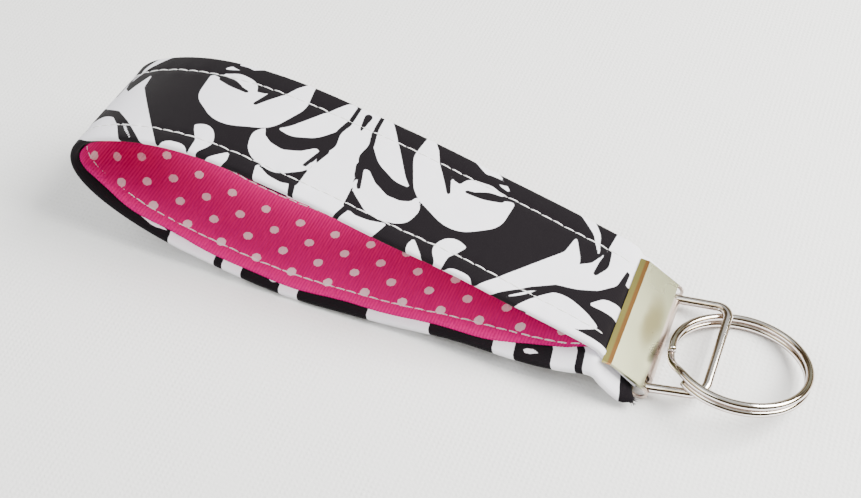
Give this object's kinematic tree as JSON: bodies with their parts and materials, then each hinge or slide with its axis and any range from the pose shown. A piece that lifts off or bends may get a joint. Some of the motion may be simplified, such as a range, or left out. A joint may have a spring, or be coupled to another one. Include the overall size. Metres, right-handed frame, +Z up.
{
  "type": "wristlet keychain",
  "caption": "Folded fabric wrist strap with a ribbon lining, its ends held in a flat metal clamp that carries a hinged wire bail and a split key ring.",
  "frame": {"origin": "on the surface the keychain lies on, under the middle of its box", "axes": "+X along the strap from the loop's fold to the split ring, +Y across the strap, +Z up"},
  "size_m": [0.1836, 0.0402, 0.036],
  "materials": {
    "cover_fabric": "printed woven cotton, off-white scrollwork on near-black",
    "core_fleece": "needled interfacing fleece, hidden",
    "ribbon_fabric": "ribbed grosgrain ribbon with pale dots",
    "thread": "white sewing thread",
    "clamp_plate": "satin nickel-plated sheet steel",
    "bail_wire": "bright nickel-plated steel wire",
    "ring_wire": "bright nickel-plated spring steel wire"
  },
  "bodies": {
    "strap": {"fabric_cover": "cover_fabric", "interfacing_core": "core_fleece", "ribbon": "ribbon_fabric", "needle_thread_near": "thread", "needle_thread_far": "thread", "bobbin_thread_near": "thread", "bobbin_thread_far": "thread", "clamp": "clamp_plate"},
    "bail": {"bail": "bail_wire"},
    "ring": {"split_ring": "ring_wire"}
  },
  "joints": [
    {"name": "bail_swing", "type": "hinge", "parent": "strap", "child": "bail", "pos_m": [0.05577, -0.00072, 0.0023], "axis": [0, -1, 0], "range_deg": [-105, 4]},
    {"name": "ring_tip", "type": "hinge", "parent": "bail", "child": "ring", "pos_m": [0.07542, -0.00122, 0.00589], "axis": [-1, 0, 0], "range_deg": [0, 140]}
  ]
}
